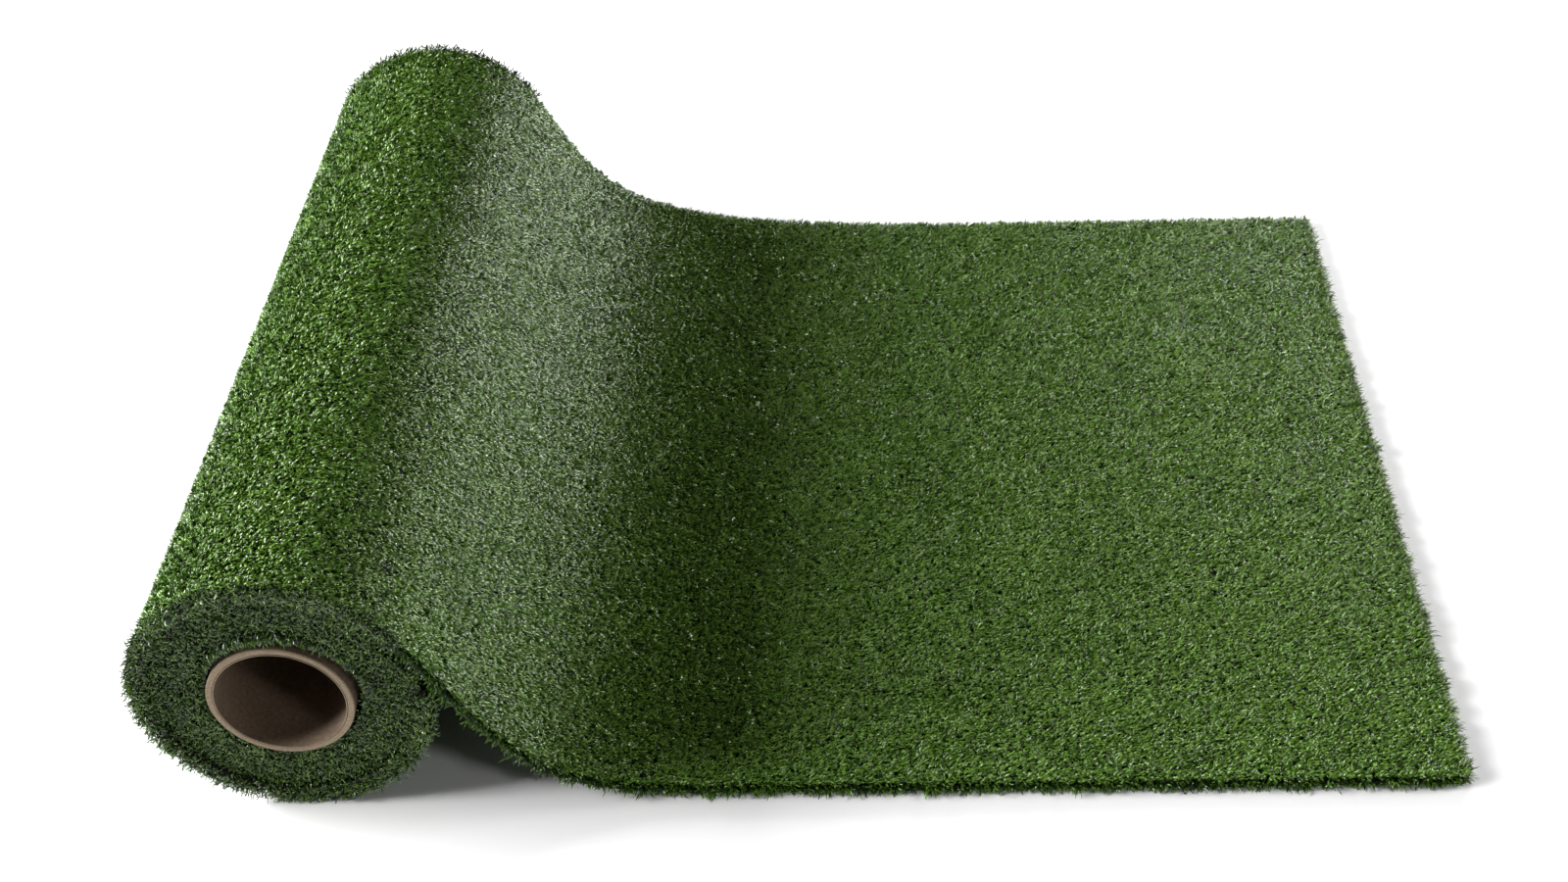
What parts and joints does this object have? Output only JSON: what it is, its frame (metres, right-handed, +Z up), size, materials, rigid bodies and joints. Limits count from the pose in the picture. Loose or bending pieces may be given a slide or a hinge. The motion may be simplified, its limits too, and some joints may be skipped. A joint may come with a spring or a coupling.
{
  "type": "practice putting mat",
  "caption": "Artificial turf practice putting mat partly unrolled: a coil of short green pile on a paper tube, its free end coming down a ramp to lie flat.",
  "frame": {"origin": "on the floor under the middle of the mat: centre of the footprint at the lowest point", "axes": "+X from the roll towards the free end, +Y across the mat's width, +Z up from the floor"},
  "size_m": [0.787, 0.612, 0.178],
  "materials": {
    "pile_yarn": "short straight tufted polyethylene pile with a slight gloss",
    "backing_cloth": "woven polypropylene tape cloth",
    "latex_coating": "matt latex back coating",
    "tube_paper": "spiral wound grey-brown paperboard with cut ends",
    "liner_paper": "brown paper ply lining the tube's bore"
  },
  "bodies": {
    "bed": {"bed_coating": "latex_coating", "bed_cloth": "backing_cloth", "bed_pile": "pile_yarn"},
    "roll": {"outer_wrap_coating": "latex_coating", "outer_wrap_cloth": "backing_cloth", "outer_wrap_pile": "pile_yarn", "ramp_coating": "latex_coating", "ramp_cloth": "backing_cloth", "ramp_pile": "pile_yarn"},
    "winding": {"winding_coating": "latex_coating", "winding_cloth": "backing_cloth", "winding_pile": "pile_yarn"},
    "core": {"core_tube": "tube_paper", "core_liner": "liner_paper"},
    "end_strip_1": {"end_1_coating": "latex_coating", "end_1_cloth": "backing_cloth", "end_1_pile": "pile_yarn"},
    "end_strip_2": {"end_2_coating": "latex_coating", "end_2_cloth": "backing_cloth", "end_2_pile": "pile_yarn"},
    "end_strip_3": {"end_3_coating": "latex_coating", "end_3_cloth": "backing_cloth", "end_3_pile": "pile_yarn"},
    "end_strip_4": {"end_4_coating": "latex_coating", "end_4_cloth": "backing_cloth", "end_4_pile": "pile_yarn"}
  },
  "joints": [
    {"name": "roll_travel", "type": "slide", "parent": "bed", "child": "roll", "axis": [-1, 0, 0], "range_m": [0, 0.08]},
    {"name": "winding_turn", "type": "hinge", "parent": "roll", "child": "winding", "pos_m": [-0.3045, 0, 0.089], "axis": [0, 1, 0], "range_deg": [0, 55]},
    {"name": "core_draw", "type": "slide", "parent": "roll", "child": "core", "axis": [0, -1, 0], "range_m": [0, 0.62]},
    {"name": "end_curl", "type": "hinge", "parent": "bed", "child": "end_strip_1", "pos_m": [0.1335, 0, 0.0085], "axis": [0, -1, 0], "range_deg": [0, 40]},
    {"name": "end_curl_2", "type": "hinge", "parent": "end_strip_1", "child": "end_strip_2", "pos_m": [0.1985, 0, 0.0085], "axis": [0, -1, 0], "range_deg": [0, 40]},
    {"name": "end_curl_3", "type": "hinge", "parent": "end_strip_2", "child": "end_strip_3", "pos_m": [0.2635, 0, 0.0085], "axis": [0, -1, 0], "range_deg": [0, 40]},
    {"name": "end_curl_4", "type": "hinge", "parent": "end_strip_3", "child": "end_strip_4", "pos_m": [0.3285, 0, 0.0085], "axis": [0, -1, 0], "range_deg": [0, 40]}
  ],
  "couplings": [
    {"joint": "winding_turn", "follows": "roll_travel", "rad_per_m": 11.8},
    {"joint": "end_curl_2", "follows": "end_curl", "ratio": 1},
    {"joint": "end_curl_3", "follows": "end_curl", "ratio": 1},
    {"joint": "end_curl_4", "follows": "end_curl", "ratio": 1}
  ]
}
